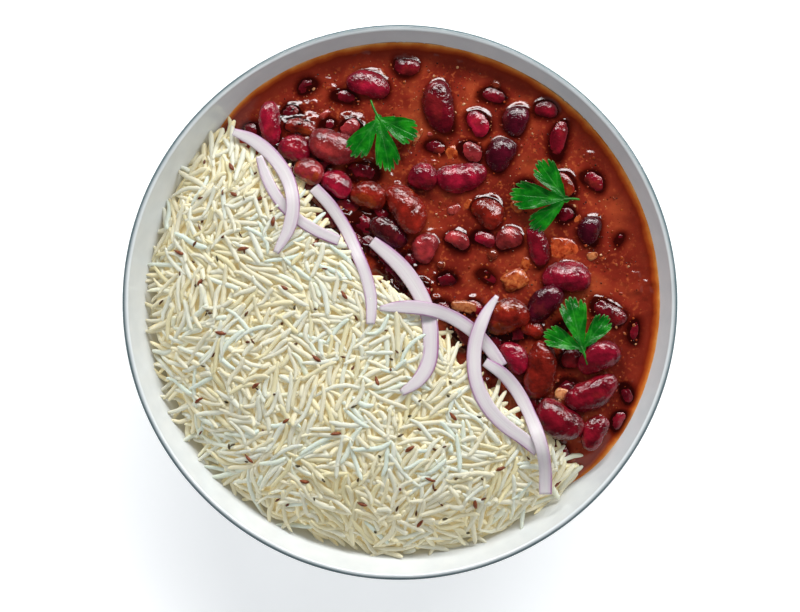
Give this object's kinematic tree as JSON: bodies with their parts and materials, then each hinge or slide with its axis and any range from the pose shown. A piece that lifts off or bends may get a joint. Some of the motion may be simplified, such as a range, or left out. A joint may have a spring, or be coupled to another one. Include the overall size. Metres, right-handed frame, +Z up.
{
  "type": "bowl of red beans and rice",
  "caption": "Low stoneware bowl half filled with long-grain rice and half with red kidney bean curry, with sliced red onion and coriander leaves.",
  "frame": {"origin": "on the bowl's axis, at the plane that its foot ring stands on", "axes": "+Z up out of the bowl; +Y to the back of the bowl and +X to its right, so that the curry fills the back right half and the rice the front left half"},
  "size_m": [0.22, 0.22, 0.0503],
  "materials": {
    "bowl": "gloss",
    "rice": "satin",
    "curry": "gloss",
    "bean": "gloss",
    "tomato": "gloss",
    "onion": "satin",
    "leaf": "satin",
    "spice": "matte"
  },
  "bodies": {
    "root": {"bowl": "bowl", "rice": "rice", "curry": "curry", "bean_01": "bean", "bean_02": "bean", "bean_03": "bean", "bean_04": "bean", "bean_05": "bean", "bean_06": "bean", "bean_07": "bean", "bean_08": "bean", "bean_09": "bean", "bean_10": "bean", "bean_11": "bean", "bean_12": "bean", "bean_13": "bean", "bean_14": "bean", "bean_15": "bean", "bean_16": "bean", "bean_17": "bean", "bean_18": "bean", "bean_19": "bean", "bean_20": "bean", "bean_21": "bean", "bean_22": "bean", "bean_23": "bean", "bean_24": "bean", "bean_25": "bean", "bean_26": "bean", "bean_27": "bean", "bean_28": "bean", "bean_29": "bean", "bean_30": "bean", "bean_31": "bean", "bean_32": "bean", "bean_33": "bean", "bean_34": "bean", "bean_35": "bean", "bean_36": "bean", "bean_37": "bean", "bean_38": "bean", "bean_39": "bean", "bean_40": "bean", "bean_41": "bean", "bean_42": "bean", "bean_43": "bean", "bean_44": "bean", "bean_45": "bean", "tomato_piece_1": "tomato", "tomato_piece_2": "tomato", "onion_1": "onion", "onion_2": "onion", "onion_3": "onion", "onion_4": "onion", "onion_5": "onion", "onion_6": "onion", "onion_7": "onion", "coriander_1": "leaf", "coriander_2": "leaf", "coriander_3": "leaf"}
  },
  "joints": []
}
